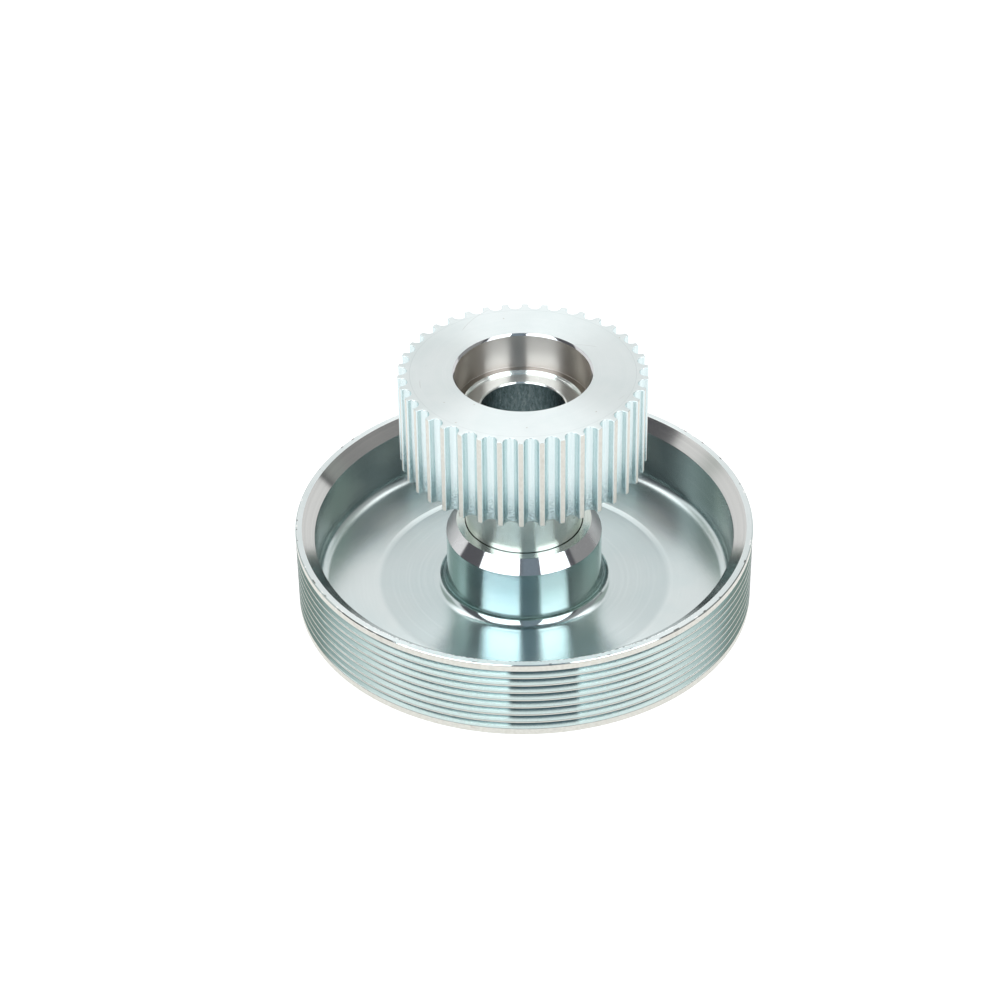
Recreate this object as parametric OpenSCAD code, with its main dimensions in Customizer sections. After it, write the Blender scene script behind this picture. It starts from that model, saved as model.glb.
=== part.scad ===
// Compound pulley: a toothed timing pulley whose spigot is pressed into the hub
// of a dished, ribbed pulley. Both turn together as one rigid part.
// Millimetres. Z is the axis of rotation, Z = 0 is the flat underside.

/* [Ribbed pulley] */
// Outside diameter over the ribs
rim_d = 180; // [170:1:200]
// Number of V grooves
grooves = 8; // [4:1:8]
// Pitch of the V grooves
groove_pitch = 3.56; // [3.4:0.01:3.7]
// Width of the V groove at the outside diameter
groove_mouth = 2.96; // [2.7:0.01:3.1]
// Included angle of the V groove
groove_angle = 40; // [38:1:42]
// Radius at the bottom of the V groove
groove_root_r = 0.5; // [0.3:0.05:0.6]
// Plain land beside the first and the last groove, beyond the half pitch
edge_land = 2.56; // [1:0.01:4]
// Diameter of the wall inside the dish
dish_d = 165; // [150:1:165]
// Thickness of the web under the outer part of the dish
web_t = 5.6; // [4:0.1:8]
// Diameter of the shallow turned recess in the web
web_recess_d = 113; // [90:1:130]
// Depth of the shallow turned recess
web_recess_depth = 0.25; // [0.1:0.05:0.5]
// Height of the chamfer inside the rim's mouth
mouth_chamfer_h = 4.2; // [1:0.1:6]
// Diameter of the rim's flat top face, at its inner edge
mouth_d = 174.9; // [168:0.1:176]

/* [Hub] */
// Outside diameter of the hub
hub_d = 61.4; // [58:0.1:66]
// Height of the hub's flat top above the rim
hub_proud = 1.0; // [0:0.1:3]
// Height of the chamfer round the hub's top
hub_chamfer_h = 5.3; // [2:0.1:6]
// Diameter of the hub's flat top
hub_top_d = 53.2; // [50:0.1:56]

/* [Timing pulley] */
// Number of teeth
teeth = 38; // [34:1:44]
// Tooth pitch along the belt's pitch line
tooth_pitch = 8; // [7.8:0.01:8.2]
// Distance from the outside diameter to the belt's pitch line
pitch_line_offset = 0.686; // [0.6:0.001:0.8]
// Depth of the tooth groove
tooth_depth = 3.45; // [3:0.05:3.6]
// Radius of the tooth groove
tooth_groove_r = 2.65; // [2.4:0.05:2.75]
// Radius on the tooth's edges
tooth_tip_r = 0.6; // [0.3:0.05:0.7]
// Width of the toothed face
tooth_face_w = 38; // [30:1:50]
// Angle of the first tooth from +X
first_tooth_angle = 88.2; // [85:0.1:94]

/* [Neck and bores] */
// Diameter of the neck and the spigot
neck_d = 46; // [44:0.5:48]
// Length of the neck between the hub and the toothed face
neck_l = 31.1; // [20:0.1:50]
// Diameter of both bearing seats
seat_d = 52; // [50:0.5:54]
// Depth of both bearing seats
seat_depth = 15; // [12:0.5:16]
// Chamfer at the mouth of each bearing seat
seat_chamfer = 0.8; // [0.4:0.1:1.2]
// Diameter of the recess below the upper bearing's shoulder
relief_d = 46.8; // [42:0.1:48]
// Depth of that recess
relief_depth = 1.1; // [0.5:0.1:2]
// Diameter of the clearance bore for the shaft
bore_d = 33; // [28:0.5:35]
// Chamfer at each end of the clearance bore
bore_chamfer = 0.5; // [0.3:0.1:0.8]

/* [Hidden] */

$fn = 180;
cut = 1;                // how far a cutting shape runs past the face it cuts
edge_break = 0.3;       // broken sharp edges of the rim
press_lead_in = 0.4;    // chamfer at the mouth of the hub's bore: the visible seam
spigot_gap = 1;         // from the spigot's end to the lower bearing's shoulder
dish_fillet = 4.5;      // between the web and the rim's wall
hub_fillet = 5;         // between the web and the hub
recess_slope = 1.2;     // width of the slope round the recess in the web

rim_r = rim_d / 2;
rim_w = grooves * groove_pitch + 2 * edge_land;
dish_r = dish_d / 2;
hub_r = hub_d / 2;
hub_top = rim_w + hub_proud;
neck_r = neck_d / 2;
bore_r = bore_d / 2;
seat_r = seat_d / 2;
recess_z = web_t - web_recess_depth;

tooth_bottom = hub_top + neck_l;
pulley_top = tooth_bottom + tooth_face_w;
tooth_od_r = teeth * tooth_pitch / (2 * PI) - pitch_line_offset;
tooth_angle = 360 / teeth;
upper_shoulder = pulley_top - seat_depth;
relief_floor = upper_shoulder - relief_depth;
spigot_end = seat_depth + spigot_gap;

// One V groove in the plane of the profile, its mouth centred at (rim_r, 0)
module v_groove() {
    slope = tan(groove_angle / 2);
    root_x = rim_r - groove_mouth / 2 / slope + groove_root_r / sin(groove_angle / 2);
    tangent_x = root_x - groove_root_r * sin(groove_angle / 2);
    tangent_y = groove_root_r * cos(groove_angle / 2);
    mouth_y = groove_mouth / 2 + cut * slope;
    translate([root_x, 0]) circle(r = groove_root_r);
    polygon([
        [tangent_x, -tangent_y], [rim_r + cut, -mouth_y],
        [rim_r + cut, mouth_y], [tangent_x, tangent_y]
    ]);
}

// The rim's solid outline, with its two outer edges broken
module rim_outline() {
    polygon([
        [0, 0], [rim_r - edge_break, 0], [rim_r, edge_break],
        [rim_r, rim_w - edge_break], [rim_r - edge_break, rim_w], [0, rim_w]
    ]);
}

// The hollow of the dish, from the hub to the rim's wall, open at the top
module dish_hollow() {
    hub_corner = [hub_r + hub_fillet, recess_z + hub_fillet];
    dish_corner = [dish_r - dish_fillet, web_t + dish_fillet];
    polygon([
        [hub_corner.x, recess_z], [web_recess_d / 2, recess_z],
        [web_recess_d / 2 + recess_slope, web_t], [dish_corner.x, web_t],
        dish_corner, [dish_r, dish_corner.y], [dish_r, rim_w - mouth_chamfer_h],
        [mouth_d / 2, rim_w], [mouth_d / 2, rim_w + cut],
        [hub_r, rim_w + cut], [hub_r, hub_corner.y], hub_corner
    ]);
    translate(hub_corner) circle(r = hub_fillet);
    translate(dish_corner) circle(r = dish_fillet);
}

// The hub's outline above the web
module hub_outline() {
    polygon([
        [0, 0], [hub_r, 0], [hub_r, hub_top - hub_chamfer_h],
        [hub_top_d / 2, hub_top], [0, hub_top]
    ]);
}

// The hub's bore for the spigot, and the lower bearing seat below it
module hub_bores() {
    polygon([
        [-cut, -cut], [seat_r + seat_chamfer + cut, -cut], [seat_r, seat_chamfer],
        [seat_r, seat_depth], [neck_r, seat_depth], [neck_r, hub_top - press_lead_in],
        [neck_r + press_lead_in + cut, hub_top + cut], [-cut, hub_top + cut]
    ]);
}

module ribbed_pulley() {
    color("#A9BDC0")
    rotate_extrude()
    difference() {
        union() {
            difference() {
                rim_outline();
                dish_hollow();
            }
            hub_outline();
        }
        hub_bores();
        for (i = [0 : grooves - 1])
            translate([0, edge_land + (i + 0.5) * groove_pitch]) v_groove();
    }
}

// One tooth groove in the plane of the teeth, centred on +X, with its two edges
// rounded into the outside diameter
module tooth_groove() {
    root_x = tooth_od_r - tooth_depth + tooth_groove_r;
    tip_y = tooth_groove_r + tooth_tip_r;
    tip_x = sqrt(pow(tooth_od_r - tooth_tip_r, 2) - pow(tip_y, 2));
    past = (tooth_od_r + cut) / (tooth_od_r - tooth_tip_r);
    translate([root_x, 0]) circle(r = tooth_groove_r);
    translate([root_x, -tooth_groove_r]) square([tip_x - root_x, 2 * tooth_groove_r]);
    difference() {
        polygon([
            [tip_x, -tip_y], [past * tip_x, -past * tip_y],
            [past * tip_x, past * tip_y], [tip_x, tip_y]
        ]);
        for (side = [-1, 1]) translate([tip_x, side * tip_y]) circle(r = tooth_tip_r);
    }
}

// The bores of the timing pulley: seat, shoulder, recess and clearance bore
module timing_bores() {
    polygon([
        [0, pulley_top + cut], [seat_r + seat_chamfer + cut, pulley_top + cut],
        [seat_r, pulley_top - seat_chamfer], [seat_r, upper_shoulder],
        [relief_d / 2, upper_shoulder], [relief_d / 2, relief_floor],
        [bore_r + bore_chamfer, relief_floor], [bore_r, relief_floor - bore_chamfer],
        [bore_r, spigot_end + bore_chamfer], [bore_r + bore_chamfer + cut, spigot_end - cut],
        [0, spigot_end - cut]
    ]);
}

module timing_pulley() {
    color("#C6D2D3")
    difference() {
        union() {
            translate([0, 0, spigot_end]) cylinder(r = neck_r, h = pulley_top - spigot_end - cut);
            translate([0, 0, tooth_bottom])
            linear_extrude(height = tooth_face_w)
            difference() {
                circle(r = tooth_od_r);
                for (i = [0 : teeth - 1])
                    rotate(first_tooth_angle + (i + 0.5) * tooth_angle) tooth_groove();
            }
        }
        rotate_extrude() timing_bores();
    }
}

ribbed_pulley();
timing_pulley();
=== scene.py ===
import math

import bmesh
import bpy
from mathutils import Matrix, Vector


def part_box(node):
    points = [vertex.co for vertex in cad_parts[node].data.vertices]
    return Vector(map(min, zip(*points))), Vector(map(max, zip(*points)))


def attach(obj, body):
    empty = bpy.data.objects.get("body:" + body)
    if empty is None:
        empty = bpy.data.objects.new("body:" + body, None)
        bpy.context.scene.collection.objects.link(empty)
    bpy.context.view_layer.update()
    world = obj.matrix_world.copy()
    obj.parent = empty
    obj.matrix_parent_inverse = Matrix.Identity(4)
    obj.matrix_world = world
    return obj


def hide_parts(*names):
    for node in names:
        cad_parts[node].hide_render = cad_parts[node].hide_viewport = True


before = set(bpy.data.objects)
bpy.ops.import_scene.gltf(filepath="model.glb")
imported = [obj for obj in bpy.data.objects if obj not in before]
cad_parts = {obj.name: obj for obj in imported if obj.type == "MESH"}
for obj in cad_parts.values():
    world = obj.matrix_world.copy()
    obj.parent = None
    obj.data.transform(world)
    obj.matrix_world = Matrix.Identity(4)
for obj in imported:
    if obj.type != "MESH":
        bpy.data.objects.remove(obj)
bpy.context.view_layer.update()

MM = 0.001
ribbed_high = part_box("ribbed_pulley")[1]
timing_low, timing_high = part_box("timing_pulley")

# ---- Ribbed pulley ----
RIM_R = ribbed_high.x
GROOVES = 8
GROOVE_PITCH = 3.56 * MM
GROOVE_MOUTH = 2.96 * MM
GROOVE_HALF_ANGLE = math.radians(20)
GROOVE_ROOT_R = 0.5 * MM
CREST_ROUND = 0.12 * MM
EDGE_LAND = 2.56 * MM
EDGE_BREAK = 0.3 * MM
RIM_W = GROOVES * GROOVE_PITCH + 2 * EDGE_LAND
DISH_R = 82.5 * MM
MOUTH_R = 87.45 * MM
MOUTH_CHAMFER_H = 4.2 * MM
WEB_Z = 5.6 * MM
RECESS_Z = 5.35 * MM
RECESS_R = 56.5 * MM
RECESS_SLOPE = 2.4 * MM
DISH_FILLET = 4.5 * MM
HUB_R = 30.7 * MM
HUB_TOP_R = 26.6 * MM
HUB_TOP = ribbed_high.z
HUB_CHAMFER_H = 5.3 * MM
HUB_FILLET = 5 * MM

# ---- Timing pulley ----
TEETH = 38
TOOTH_PITCH = 8 * MM
TOOTH_OD_R = TEETH * TOOTH_PITCH / (2 * math.pi) - 0.686 * MM
TOOTH_DEPTH = 3.45 * MM
TOOTH_GROOVE_R = 2.65 * MM
TOOTH_TIP_R = 0.6 * MM
TOOTH_ARRIS = 0.18 * MM
TOOTH_FACE_W = 38 * MM
FIRST_TOOTH = math.radians(88.2)
PULLEY_TOP = timing_high.z
TOOTH_BOTTOM = PULLEY_TOP - TOOTH_FACE_W
SPIGOT_END = timing_low.z
NECK_R = 23 * MM
NECK_FILLET = 0.8 * MM
LEAD_IN = 0.4 * MM
SEAT_R = 26 * MM
SEAT_DEPTH = 15 * MM
SEAT_CHAMFER = 0.8 * MM
RELIEF_R = 23.4 * MM
RELIEF_DEPTH = 1.1 * MM
BORE_R = 16.5 * MM
BORE_CHAMFER = 0.5 * MM

ARRIS = 0.1 * MM
TURN_STEPS = 288
HAIR = 0.02 * MM


# ---- Shader arithmetic ----
class Value:
    """A socket of a node tree. Arithmetic on it adds the Math nodes that work it out."""

    def __init__(self, shader, socket):
        self.shader = shader
        self.socket = socket

    def math(self, operation, *terms):
        return self.shader.node("ShaderNodeMath", {"operation": operation}, dict(enumerate(terms)))

    def __add__(self, other):
        return self.math("ADD", self, other)

    __radd__ = __add__

    def __sub__(self, other):
        return self.math("SUBTRACT", self, other)

    def __rsub__(self, other):
        return self.math("SUBTRACT", other, self)

    def __mul__(self, other):
        return self.math("MULTIPLY", self, other)

    __rmul__ = __mul__

    def __truediv__(self, other):
        return self.math("DIVIDE", self, other)

    def __pow__(self, other):
        return self.math("POWER", self, other)

    def __abs__(self):
        return self.math("ABSOLUTE", self)

    def fract(self):
        """What is left after the whole number."""
        return self.math("FRACT", self)

    def step(self, low, high):
        """0 below low, 1 above high and a smooth ramp between; low may be the larger one."""
        return self.shader.node(
            "ShaderNodeMapRange",
            {"interpolation_type": "SMOOTHSTEP"},
            {"Value": self, "From Min": low, "From Max": high},
        )

    def band(self, low, high, soft):
        """1 between low and high, with a ramp of twice soft centred on each."""
        return self.step(low - soft, low + soft) * self.step(high + soft, high - soft)


class Shader:
    """A node tree in the making, of a material or of the world."""

    def __init__(self, tree):
        self.tree = tree

    def node(self, kind, settings=None, sockets=None, output=0):
        """Adds a node with those settings; a socket takes a number, a colour or a Value."""
        made = self.tree.nodes.new(kind)
        for name, setting in (settings or {}).items():
            setattr(made, name, setting)
        for name, value in (sockets or {}).items():
            if isinstance(value, Value):
                self.tree.links.new(value.socket, made.inputs[name])
            else:
                made.inputs[name].default_value = value
        return Value(self, made.outputs[output])

    def vector(self, x, y, z):
        return self.node("ShaderNodeCombineXYZ", sockets={"X": x, "Y": y, "Z": z})

    def mix(self, mask, a, b):
        """Colour a where mask is 0 and colour b where it is 1."""
        return self.node(
            "ShaderNodeMix", {"data_type": "RGBA"}, {"Factor": mask, 6: a, 7: b}, output=2
        )

    def noise(self, vector, scale, detail=2.0, roughness=0.5):
        return self.node(
            "ShaderNodeTexNoise",
            sockets={"Vector": vector, "Scale": scale, "Detail": detail, "Roughness": roughness},
        )

    def cells(self, vector, scale):
        """Distance to the nearest of many scattered points."""
        return self.node("ShaderNodeTexVoronoi", sockets={"Vector": vector, "Scale": scale})


class Metal(Shader):
    """A metal finish. Radius, height and direction are read from the part's own coordinates."""

    def __init__(self, name, anisotropy):
        self.material = bpy.data.materials.new(name)
        self.material.use_nodes = True
        super().__init__(self.material.node_tree)
        self.surface = self.tree.nodes["Principled BSDF"]
        self.surface.inputs["Metallic"].default_value = 1.0
        self.surface.inputs["Anisotropic"].default_value = anisotropy
        self.surface.inputs["Anisotropic Rotation"].default_value = 0.25
        self.place = self.node("ShaderNodeTexCoord", output="Object")
        split = self.node("ShaderNodeSeparateXYZ", sockets={"Vector": self.place}).socket.node
        self.x, self.y, self.z = (Value(self, split.outputs[i]) for i in range(3))
        self.radius = (self.x * self.x + self.y * self.y) ** 0.5
        self.side, self.front = self.x / self.radius, self.y / self.radius

    def turning(self, lines_per_mm, wander):
        """Noise that runs round the axis in lines, as a turning tool leaves them."""
        scale = lines_per_mm / MM
        vector = self.vector(
            self.radius * scale + self.side * wander,
            self.z * scale + self.front * wander,
            self.side * self.front * wander,
        )
        return self.noise(vector, 1.0, detail=3.0, roughness=0.6)

    def stretched(self, across, along):
        """The part's own coordinates, scaled differently across and along the axis."""
        return self.vector(self.x * across, self.y * across, self.z * along)

    def arc(self, x, y, reach, width):
        """A fine broken arc of that radius about (x, y), as something dragged over it leaves."""
        run, rise = self.x - x, self.y - y
        away = abs((run * run + rise * rise) ** 0.5 - reach)
        broken = self.noise(self.place, 45.0, detail=2.0).step(0.5, 0.56)
        return away.step(1.6 * width, 0.6 * width) * broken

    def rim_marks_glints_and_shade(self, color):
        """The rim's top face: painted shade on its broken outer edge, and dents there and burrs at
        its inner edge, drawn as pale and dark spots that are partly painted glints and shade.
        """
        dent_glints_and_shade = self.noise(self.vector(self.side * 26.0, self.front * 26.0, 0.0), 1.0, detail=1.0)
        burr_glints_and_shade = self.noise(self.vector(self.side * 140.0, self.front * 140.0, 0.0), 1.0, detail=2.0)
        top = self.z.step(RIM_W - 0.6 * MM, RIM_W - 0.3 * MM) * self.z.step(HUB_TOP, RIM_W)
        outer = self.radius.step(RIM_R - 0.9 * MM, RIM_R - 0.5 * MM) * top
        inner = self.radius.band(MOUTH_R - 0.3 * MM, MOUTH_R + 0.3 * MM, 0.1 * MM) * top
        inner *= self.front.step(-0.6, -0.85)
        # Painted shade: a dark ring on the edge break at the rim's outer top edge.
        edge = self.radius.step(RIM_R - 0.4 * MM, RIM_R - 0.3 * MM) * top
        color = self.mix(edge * 0.8, color, (0.16, 0.14, 0.12, 1))
        # Burrs at the front inner edge: pale and dark spots, partly painted glints and shade.
        color = self.mix(inner * burr_glints_and_shade.step(0.49, 0.54), color, (0.97, 0.99, 0.99, 1))
        color = self.mix(inner * burr_glints_and_shade.step(0.47, 0.43), color, (0.10, 0.11, 0.11, 1))
        # Dents at the outer edge: pale and dark spots, partly painted glints and shade.
        color = self.mix(outer * dent_glints_and_shade.step(0.63, 0.66), color, (0.95, 0.95, 0.93, 1))
        return self.mix(outer * dent_glints_and_shade.step(0.37, 0.34), color, (0.10, 0.09, 0.08, 1))

    def finish(self, color, roughness, height=None, depth=0.0):
        """Puts colour, roughness and bump (height times depth, in metres) on the surface."""
        for name, value in (("Base Color", color), ("Roughness", roughness)):
            if isinstance(value, Value):
                self.tree.links.new(value.socket, self.surface.inputs[name])
            else:
                self.surface.inputs[name].default_value = value
        if height is not None:
            bump = self.node(
                "ShaderNodeBump", sockets={"Strength": 1.0, "Distance": depth, "Height": height}
            )
            self.tree.links.new(bump.socket, self.surface.inputs["Normal"])
        return self.material


# ---- Finishes ----
def zinc_plate():
    """Bright bluish zinc over turned steel: web, rim wall, hub, neck and V grooves."""
    m = Metal("zinc_plate", anisotropy=0.9)
    clouds = m.noise(m.place, 40.0, detail=4.0)
    rings = m.turning(0.9, 0.3)
    tint = m.noise(m.place, 22.0, detail=2.0).step(0.45, 0.62)
    color = m.mix(clouds.step(0.35, 0.65), (0.50, 0.63, 0.645, 1), (0.54, 0.66, 0.67, 1))

    above = m.z.step(MM, 2 * MM)
    web = m.z.step(WEB_Z + 3 * MM, WEB_Z + 0.5 * MM) * m.radius.step(DISH_R, DISH_R - MM) * above
    pale = m.mix(clouds.step(0.35, 0.65), (0.64, 0.72, 0.725, 1), (0.69, 0.75, 0.75, 1))
    recess = m.radius.step(RECESS_R + RECESS_SLOPE, RECESS_R) * web
    color = m.mix(web, color, pale)
    color = m.mix(recess * 0.45, color, (0.45, 0.53, 0.54, 1))

    hub = m.radius.step(HUB_R + MM, HUB_R + 0.2 * MM) * m.z.band(RECESS_Z, HUB_TOP - 4 * MM, MM)
    color = m.mix(hub, color, (0.60, 0.76, 0.79, 1))
    # Painted shade: the hub darker and greener towards its left and right sides (along X).
    hub_sides_shade = hub * abs(m.side).step(0.45, 0.75)
    color = m.mix(hub_sides_shade, color, (0.41, 0.57, 0.545, 1))
    # Painted shade: the rim's inner wall, inside the dish, darker.
    wall = m.radius.band(DISH_R - MM, DISH_R + MM, 0.3 * MM) * m.z.band(WEB_Z, RIM_W, 2 * MM)
    color = m.mix(wall, color, (0.27, 0.34, 0.335, 1))
    color = m.mix(tint * (1 - web) * 0.5, color, (0.56, 0.65, 0.60, 1))
    # Painted shade: darker deep in the V grooves, below the crests.
    groove_root_shade = m.radius.band(DISH_R + 3 * MM, RIM_R - 1.9 * MM, 0.7 * MM) * above
    rim_side = m.radius.step(DISH_R + MM, DISH_R + 2 * MM) * above
    color = m.mix(rim_side, color, (0.76, 0.83, 0.82, 1))
    # Painted shade: the rim's outside darker towards its left and right sides (along X).
    rim_far_sides_shade = rim_side * abs(m.side).step(0.55, 0.95)
    color = m.mix(rim_far_sides_shade, color, (0.40, 0.49, 0.48, 1))
    color = m.mix(groove_root_shade * 0.6, color, (0.25, 0.34, 0.36, 1))
    relief = m.radius.step(RELIEF_R + 0.3 * MM, RELIEF_R + 0.1 * MM)
    relief *= m.z.step(TOOTH_BOTTOM, TOOTH_BOTTOM + MM)
    color = m.mix(relief, color, (0.92, 0.95, 0.93, 1))

    neck = m.radius.band(NECK_R - 0.2 * MM, NECK_R + 0.7 * MM, 0.1 * MM)
    neck *= m.z.band(HUB_TOP + 0.3 * MM, TOOTH_BOTTOM, 0.2 * MM)
    color = m.mix(neck, color, (0.95, 0.98, 0.93, 1))
    hub_top = m.radius.step(HUB_TOP_R + MM, HUB_TOP_R) * m.z.band(HUB_TOP - MM, HUB_TOP, 0.3 * MM)
    color = m.mix(hub_top, color, (0.72, 0.71, 0.62, 1))
    seam = m.radius.band(NECK_R, NECK_R + 0.3 * MM, 0.06 * MM) * hub_top
    color = m.mix(seam, color, (0.12, 0.08, 0.05, 1))

    dust = m.cells(m.place, 250.0).step(0.05, 0.035)
    color = m.mix(dust * 0.7, color, (0.95, 0.95, 0.93, 1))
    color = m.mix(rings.step(0.45, 0.8) * 0.12, color, (0.9, 0.95, 0.95, 1))
    hub_fillet = m.radius.band(HUB_R + 0.4 * MM, HUB_R + 4.4 * MM, 0.5 * MM)
    hub_fillet *= m.z.band(RECESS_Z - HAIR, RECESS_Z + 4 * MM, 0.4 * MM)
    roughness = 0.16 + 0.03 * clouds + 0.02 * rings
    roughness += 0.04 * web - 0.06 * hub - 0.11 * hub_fillet + 0.06 * neck - 0.08 * rim_side
    return m.finish(color, roughness)


def zinc_groove():
    """The tooth grooves: plated over hobbed steel, streaked and dark-speckled towards the foot."""
    m = Metal("zinc_groove", anisotropy=0.9)
    streaks = m.noise(m.stretched(1200.0, 60.0), 1.0, detail=2.0, roughness=0.6)
    specks = m.noise(m.stretched(1100.0, 4200.0), 1.0, detail=2.0, roughness=0.6)
    foot = m.z.step(TOOTH_BOTTOM + 20 * MM, TOOTH_BOTTOM)
    dark = (specks + 0.2 * foot).step(0.66, 0.72) * foot
    color = m.mix(streaks.step(0.3, 0.7), (0.66, 0.77, 0.78, 1), (0.73, 0.82, 0.825, 1))
    color = m.mix(foot * 0.6, color, (0.42, 0.56, 0.58, 1))
    color = m.mix(dark * 0.6, color, (0.16, 0.23, 0.24, 1))
    return m.finish(color, 0.2 + 0.05 * streaks)


def zinc_face():
    """The timing pulley's flat top: bright, slightly cloudy, with faint turning lines."""
    m = Metal("zinc_face", anisotropy=0.8)
    rings = m.turning(1.2, 0.4)
    clouds = m.noise(m.place, 80.0, detail=4.0)
    color = m.mix(clouds.step(0.3, 0.7), (0.67, 0.73, 0.73, 1), (0.71, 0.76, 0.76, 1))
    color = m.mix(rings.step(0.45, 0.8) * 0.15, color, (0.85, 0.88, 0.88, 1))
    dirt = m.cells(m.place, 160.0).step(0.05, 0.035)
    color = m.mix(dirt * 0.6, color, (0.30, 0.24, 0.18, 1))
    for x, y, reach in ((8.0, 18.0, 33.0), (-12.0, -6.0, 27.0), (20.0, -4.0, 22.0)):
        scratch = m.arc(x * MM, y * MM, reach * MM, 0.06 * MM)
        color = m.mix(scratch * 0.5, color, (0.28, 0.27, 0.25, 1))
    color = m.rim_marks_glints_and_shade(color)
    witness = m.radius.band(43.0 * MM, 43.15 * MM, 0.08 * MM)
    color = m.mix(witness * 0.3, color, (0.30, 0.34, 0.35, 1))
    return m.finish(color, 0.30 + 0.05 * rings + 0.05 * clouds)


def zinc_bore():
    """The rough-bored, plated clearance hole: dark and mottled."""
    m = Metal("zinc_bore", anisotropy=0.7)
    mottle = m.noise(m.stretched(900.0, 350.0), 1.0, detail=4.0, roughness=0.65)
    color = m.mix(mottle.step(0.4, 0.65), (0.42, 0.50, 0.51, 1), (0.66, 0.72, 0.73, 1))
    return m.finish(color, 0.2 + 0.1 * mottle, mottle, 0.003 * MM)


def ground_land():
    """Ribs' crests, edge lands and tooth lands: pale, warm, bare steel."""
    m = Metal("ground_land", anisotropy=0.3)
    grain = m.noise(m.place, 900.0, detail=3.0)
    color = m.mix(grain.step(0.3, 0.7), (0.62, 0.61, 0.56, 1), (0.70, 0.69, 0.64, 1))
    stain = m.noise(m.place, 260.0, detail=4.0, roughness=0.7).step(0.62, 0.72)
    color = m.mix(stain * 0.4, color, (0.40, 0.33, 0.27, 1))
    # Painted shade: a dark line along each edge of every rib crest.
    off_crest = abs(((m.z - EDGE_LAND) / GROOVE_PITCH + 0.5).fract() - 0.5) * GROOVE_PITCH
    crests = m.z.band(EDGE_LAND, RIM_W - EDGE_LAND, 0.1 * MM)
    color = m.mix(off_crest.step(0.19 * MM, 0.28 * MM) * crests, color, (0.10, 0.11, 0.11, 1))
    color = m.rim_marks_glints_and_shade(color)
    return m.finish(color, 0.3 + 0.1 * grain, grain, 0.001 * MM)


def bare_turned():
    """Finish-turned bare steel of the bearing seats and the rim's inner chamfer."""
    m = Metal("bare_turned", anisotropy=1.0)
    fine = m.turning(3.0, 0.3)
    broad = m.turning(0.8, 0.3)
    seat = m.radius.step(SEAT_R + 4 * MM, SEAT_R + 2 * MM)
    wall = m.radius.band(SEAT_R - 0.1 * MM, SEAT_R + 0.1 * MM, 0.05 * MM)
    color = m.mix(broad.step(0.3, 0.7), (0.58, 0.585, 0.575, 1), (0.63, 0.635, 0.62, 1))
    color = m.mix(fine.step(0.4, 0.7) * 0.2, color, (0.43, 0.42, 0.41, 1))
    color = m.mix(seat, color, (0.62, 0.585, 0.55, 1))
    # Painted shade: the bearing seats darker towards their left and right sides (along X).
    seat_sides_shade = seat * abs(m.side).step(0.4, 0.8)
    color = m.mix(seat_sides_shade, color, (0.44, 0.41, 0.37, 1))
    color = m.rim_marks_glints_and_shade(color)
    return m.finish(color, 0.08 + 0.03 * fine + 0.1 * seat + 0.17 * wall)


def polished_chamfer():
    """The hub's chamfer, cut with a keen tool and as bright as a mirror."""
    m = Metal("polished_chamfer", anisotropy=0.3)
    specks = m.noise(m.place, 1500.0, detail=3.0)
    color = m.mix(specks.step(0.5, 0.8), (0.64, 0.65, 0.66, 1), (0.74, 0.75, 0.76, 1))
    worn = abs(m.side).step(0.86, 0.97) * m.z.step(TOOTH_BOTTOM, HUB_TOP)
    return m.finish(color, 0.06 + 0.03 * specks + 0.3 * worn)


# ---- Shapes ----
def rounded(corners, angle_step=math.radians(15)):
    """Points along a closed outline of (x, y, radius) corners, each rounded by its radius."""
    points = []
    for i, (x, y, radius) in enumerate(corners):
        corner = Vector((x, y))
        before = (Vector(corners[i - 1][:2]) - corner).normalized()
        after = (Vector(corners[(i + 1) % len(corners)][:2]) - corner).normalized()
        half = before.angle(after) / 2
        turn = math.pi - 2 * half
        if radius == 0 or turn < 1e-4:
            points.append(corner)
            continue
        centre = corner + (before + after).normalized() * (radius / math.sin(half))
        start = corner + before * (radius / math.tan(half)) - centre
        steps = max(2, math.ceil(turn / angle_step))
        way = 1 if start.cross(corner - centre) > 0 else -1
        for k in range(steps + 1):
            points.append(centre + Matrix.Rotation(way * turn * k / steps, 2) @ start)
    return points


def finished_piece(bm, name, finishes, rule):
    """Makes the mesh a piece; rule(radius, height) names the finish of each face."""
    bmesh.ops.remove_doubles(bm, verts=bm.verts, dist=0.5 * HAIR)
    bmesh.ops.recalc_face_normals(bm, faces=bm.faces)
    names = list(finishes)
    for face in bm.faces:
        centre = face.calc_center_median()
        face.smooth = True
        face.material_index = names.index(rule(centre.xy.length, centre.z))
    mesh = bpy.data.meshes.new(name)
    bm.to_mesh(mesh)
    bm.free()
    for finish in names:
        mesh.materials.append(finishes[finish])
    piece = bpy.data.objects.new(name, mesh)
    bpy.context.scene.collection.objects.link(piece)
    even = piece.modifiers.new("even_shading", "WEIGHTED_NORMAL")
    even.weight = 100
    even.mode = "FACE_AREA"
    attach(piece, "root")
    return piece


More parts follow.
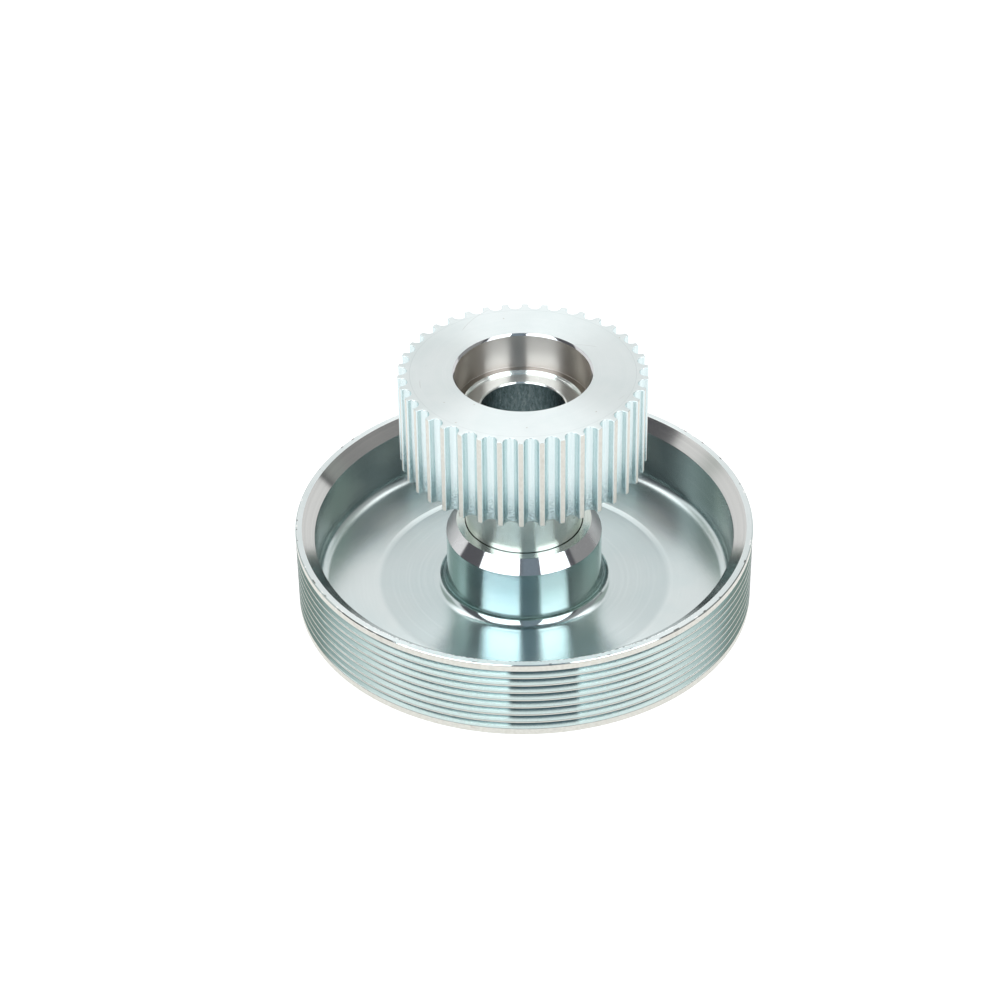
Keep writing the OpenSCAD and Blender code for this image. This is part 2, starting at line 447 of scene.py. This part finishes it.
def ribbed_outline():
    """Corners (radius, height, rounding) of the ribbed pulley's section, from the hub's bore out."""
    corners = [
        (NECK_R, SEAT_DEPTH, ARRIS),
        (NECK_R, HUB_TOP - LEAD_IN, 0),
        (NECK_R + LEAD_IN, HUB_TOP, 0.5 * ARRIS),
        (HUB_TOP_R, HUB_TOP, 2 * ARRIS),
        (HUB_R, HUB_TOP - HUB_CHAMFER_H, 2 * ARRIS),
        (HUB_R, RECESS_Z, HUB_FILLET),
        (RECESS_R, RECESS_Z, 10 * ARRIS),
        (RECESS_R + RECESS_SLOPE, WEB_Z, 10 * ARRIS),
        (DISH_R, WEB_Z, DISH_FILLET),
        (DISH_R, RIM_W - MOUTH_CHAMFER_H, 4 * ARRIS),
        (MOUTH_R, RIM_W, 1.5 * ARRIS),
        (RIM_R - EDGE_BREAK, RIM_W, ARRIS),
        (RIM_R, RIM_W - EDGE_BREAK, ARRIS),
    ]
    root = RIM_R - GROOVE_MOUTH / 2 / math.tan(GROOVE_HALF_ANGLE)
    for i in reversed(range(GROOVES)):
        middle = EDGE_LAND + (i + 0.5) * GROOVE_PITCH
        corners += [
            (RIM_R, middle + GROOVE_MOUTH / 2, CREST_ROUND),
            (root, middle, GROOVE_ROOT_R),
            (RIM_R, middle - GROOVE_MOUTH / 2, CREST_ROUND),
        ]
    return corners + [
        (RIM_R, EDGE_BREAK, ARRIS),
        (RIM_R - EDGE_BREAK, 0, ARRIS),
        (SEAT_R + SEAT_CHAMFER, 0, ARRIS),
        (SEAT_R, SEAT_CHAMFER, ARRIS),
        (SEAT_R, SEAT_DEPTH, 4 * ARRIS),
    ]


def ribbed_rule(radius, height):
    """The finish of a face of the ribbed pulley whose middle is there."""
    if radius > RIM_R - CREST_ROUND:
        return "land"
    if radius < SEAT_R + SEAT_CHAMFER and height < SEAT_DEPTH + HAIR:
        return "seat"
    if HUB_TOP_R < radius < HUB_R and height > HUB_TOP - HUB_CHAMFER_H:
        return "chamfer"
    if DISH_R < radius < MOUTH_R and height > RIM_W - MOUTH_CHAMFER_H - HAIR:
        return "seat"
    if radius > MOUTH_R and height > RIM_W - HAIR:
        return "face"
    return "plate"


def ribbed_pulley(finishes):
    """The section turned once round the axis."""
    bm = bmesh.new()
    section = [bm.verts.new((p.x, 0, p.y)) for p in rounded(ribbed_outline())]
    edges = [bm.edges.new((a, b)) for a, b in zip(section, section[1:] + section[:1])]
    bmesh.ops.spin(
        bm, geom=section + edges, cent=(0, 0, 0), axis=(0, 0, 1), angle=2 * math.pi,
        steps=TURN_STEPS, use_merge=True,
    )
    piece = finished_piece(bm, "ribbed_pulley_turned", finishes, ribbed_rule)
    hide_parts("ribbed_pulley")


def tooth_pitch_outline(groove_steps=6, tip_steps=4):
    """Points of half a tooth pitch, from the groove's middle on +X to the land's middle."""
    centre = TOOTH_OD_R - TOOTH_DEPTH + TOOTH_GROOVE_R
    tip_y = TOOTH_GROOVE_R + TOOTH_TIP_R
    tip_x = math.sqrt((TOOTH_OD_R - TOOTH_TIP_R) ** 2 - tip_y**2)
    lean = math.atan2(tip_y, tip_x)
    points = []
    for k in range(groove_steps + 1):
        a = math.pi / 2 * k / groove_steps
        points.append((centre - TOOTH_GROOVE_R * math.cos(a), TOOTH_GROOVE_R * math.sin(a)))
    for k in range(1, tip_steps + 1):
        a = (math.pi / 2 + lean) * k / tip_steps
        points.append((tip_x + TOOTH_TIP_R * math.sin(a), tip_y - TOOTH_TIP_R * math.cos(a)))
    middle = math.pi / TEETH
    points.append((TOOTH_OD_R * math.cos(middle), TOOTH_OD_R * math.sin(middle)))
    return points


def timing_outline():
    """Corners of the timing pulley's section inside the teeth, from the top face in and down."""
    ring_r = TOOTH_OD_R - TOOTH_DEPTH - 1.2 * MM
    shoulder = PULLEY_TOP - SEAT_DEPTH
    relief = shoulder - RELIEF_DEPTH
    return [
        (ring_r, PULLEY_TOP, 0),
        (SEAT_R + SEAT_CHAMFER, PULLEY_TOP, ARRIS),
        (SEAT_R, PULLEY_TOP - SEAT_CHAMFER, ARRIS),
        (SEAT_R, shoulder, 3 * ARRIS),
        (RELIEF_R, shoulder, 1.5 * ARRIS),
        (RELIEF_R, relief, 3 * ARRIS),
        (BORE_R + BORE_CHAMFER, relief, ARRIS),
        (BORE_R, relief - BORE_CHAMFER, ARRIS),
        (BORE_R, SPIGOT_END + BORE_CHAMFER, ARRIS),
        (BORE_R + BORE_CHAMFER, SPIGOT_END, ARRIS),
        (NECK_R, SPIGOT_END, ARRIS),
        (NECK_R, TOOTH_BOTTOM, NECK_FILLET),
        (ring_r, TOOTH_BOTTOM, 0),
    ]


def timing_rule(radius, height):
    """The finish of a face of the timing pulley whose middle is there."""
    shoulder = PULLEY_TOP - SEAT_DEPTH
    if radius > TOOTH_OD_R - 0.05 * MM:
        return "land"
    if height > PULLEY_TOP - HAIR:
        return "face"
    if SEAT_R + HAIR < radius < SEAT_R + SEAT_CHAMFER and height > PULLEY_TOP - SEAT_CHAMFER:
        return "chamfer"
    if RELIEF_R < radius < SEAT_R + SEAT_CHAMFER and height > shoulder - HAIR:
        return "seat"
    if radius < BORE_R + HAIR:
        return "bore"
    if radius > TOOTH_OD_R - TOOTH_DEPTH - HAIR and height > TOOTH_BOTTOM:
        return "groove"
    return "plate"


def extruded_ring(bm, edges, radius, height):
    """Extrudes a ring of edges to that height: onto a circle of that radius, or straight if None."""
    made = bmesh.ops.extrude_edge_only(bm, edges=edges)["geom"]
    for vert in (g for g in made if isinstance(g, bmesh.types.BMVert)):
        reach = vert.co.xy.normalized() * radius if radius else vert.co.xy
        vert.co = (reach.x, reach.y, height)
    return [g for g in made if isinstance(g, bmesh.types.BMEdge)]


def timing_pulley(finishes):
    """A ring of tooth outlines, drawn inwards along the bores' section and back out below."""
    bm = bmesh.new()
    half = tooth_pitch_outline()
    line = [(x, -y) for x, y in reversed(half)] + half[1:]
    verts = [bm.verts.new((x, y, PULLEY_TOP)) for x, y in line]
    edges = [bm.edges.new(pair) for pair in zip(verts, verts[1:])]
    start = FIRST_TOOTH + math.pi / TEETH
    bmesh.ops.rotate(bm, cent=(0, 0, 0), matrix=Matrix.Rotation(start, 3, "Z"), verts=verts)
    bmesh.ops.spin(
        bm, geom=verts + edges, cent=(0, 0, 0), axis=(0, 0, 1), angle=2 * math.pi,
        steps=TEETH, use_duplicate=True,
    )
    bmesh.ops.remove_doubles(bm, verts=bm.verts, dist=HAIR)
    edges = top_edges = list(bm.edges)
    for point in rounded(timing_outline()):
        edges = extruded_ring(bm, edges, point.x, point.y)
    bottom = extruded_ring(bm, top_edges, None, TOOTH_BOTTOM)
    bmesh.ops.bridge_loops(bm, edges=edges + bottom)
    bmesh.ops.bevel(
        bm, geom=top_edges + bottom, offset=TOOTH_ARRIS, affect="EDGES", segments=2, profile=0.5,
        material=-1,
    )
    piece = finished_piece(
        bm, "timing_pulley_hobbed", finishes, timing_rule
    )
    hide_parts("timing_pulley")


# ---- Studio ----
def floor():
    """A wide pale floor just below the underside."""
    bm = bmesh.new()
    bmesh.ops.create_grid(bm, x_segments=2, y_segments=2, size=6.0)
    mesh = bpy.data.meshes.new("studio_floor")
    bm.to_mesh(mesh)
    bm.free()
    plane = bpy.data.objects.new("studio_floor", mesh)
    plane.location.z = -0.1 * MM
    bpy.context.scene.collection.objects.link(plane)
    paint = bpy.data.materials.new("white_floor")
    paint.use_nodes = True
    surface = paint.node_tree.nodes["Principled BSDF"]
    surface.inputs["Base Color"].default_value = (0.25, 0.25, 0.25, 1)
    surface.inputs["Roughness"].default_value = 0.9
    surface.inputs["Emission Color"].default_value = (1, 1, 1, 1)
    surface.inputs["Emission Strength"].default_value = 0.9
    mesh.materials.append(paint)


def softbox(name, azimuth, width, tall=2.2, distance=1.2, height=1.5, brightness=2.9):
    """An upright soft light facing the axis; azimuth is from the camera's side, + towards +X."""
    a = math.radians(azimuth)
    back = Vector((math.sin(a), -math.cos(a), 0))
    light = bpy.data.lights.new(name, "AREA")
    light.shape = "RECTANGLE"
    light.size, light.size_y = width, tall
    light.energy = brightness * math.pi * width * tall
    light.color = (0.95, 1.0, 1.03)
    lamp = bpy.data.objects.new(name, light)
    lamp.location = back * distance + Vector((0, 0, height))
    lamp.rotation_euler = back.to_track_quat("Z", "Y").to_euler()
    lamp.visible_camera = False
    bpy.context.scene.collection.objects.link(lamp)


def studio_walls():
    """White behind and overhead, dim on the camera's side; the camera itself sees white."""
    world = bpy.data.worlds.new("studio_walls")
    bpy.context.scene.world = world
    world.use_nodes = True
    s = Shader(world.node_tree)
    output = s.tree.nodes["World Output"]
    way = s.node("ShaderNodeTexCoord", output="Generated")
    split = s.node("ShaderNodeSeparateXYZ", sockets={"Vector": way}).socket.node
    x, y, up = (Value(s, split.outputs[i]) for i in range(3))
    level = (x * x + y * y) ** 0.5
    across, back = x / level, y / level
    open_gap = across.band(-0.1, 0.4, 0.1) * back.step(0.0, -0.1)
    color = s.mix(open_gap, (0.13, 0.13, 0.14, 1), (0.25, 0.31, 0.36, 1))
    grey_wall = back.band(-0.24, 0.52, 0.04) * across.step(0.0, 0.1)
    color = s.mix(grey_wall, color, (0.36, 0.36, 0.36, 1))
    lift = up.step(0.4, 0.8) * across.step(0.0, 0.6)
    behind = (back - 0.217 * across - 0.6 * lift).step(0.33, 0.40)
    color = s.mix(behind, color, (1.0, 1.0, 1.0, 1))
    corners = abs(across).band(0.5, 0.9, 0.05) * up.band(0.5, 0.75, 0.08) * back.step(0.0, 0.2)
    color = s.mix(corners, color, (0.44, 0.50, 0.46, 1))
    ceiling = up.step(0.68, 0.85) * y.step(0.05, 0.3)
    color = s.mix(ceiling, color, (2.3, 2.3, 2.3, 1))
    seen = s.node("ShaderNodeLightPath", output="Is Camera Ray")
    color = s.mix(seen, color, (1, 1, 1, 1))
    light = s.node("ShaderNodeBackground", sockets={"Color": color, "Strength": 1.0})
    s.tree.links.new(light.socket, output.inputs["Surface"])


def camera():
    """Looks down from the front at about 36 degrees, with a lens of 101 mm."""
    data = bpy.data.cameras.new("camera")
    data.sensor_width, data.lens = 36, 101.42
    data.clip_start, data.clip_end = 0.05, 50
    eye = bpy.data.objects.new("camera", data)
    pitch, roll = 0.6348, -0.0134
    eye.matrix_world = (
        Matrix.Translation((-0.00934, -0.88914, 0.69815))
        @ Matrix.Rotation(math.pi / 2 - pitch, 4, "X")
        @ Matrix.Rotation(roll, 4, "Z")
    )
    bpy.context.scene.collection.objects.link(eye)
    bpy.context.scene.camera = eye


def main():
    camera()
    studio_walls()
    floor()
    softbox("softbox_left", azimuth=-37, width=1.33)
    softbox("softbox_right", azimuth=45.2, width=0.94)
    finishes = {
        "plate": zinc_plate(),
        "groove": zinc_groove(),
        "land": ground_land(),
        "seat": bare_turned(),
        "chamfer": polished_chamfer(),
        "face": zinc_face(),
        "bore": zinc_bore(),
    }
    ribbed_pulley(finishes)
    timing_pulley(finishes)
    bpy.context.scene.view_settings.view_transform = "Standard"


main()
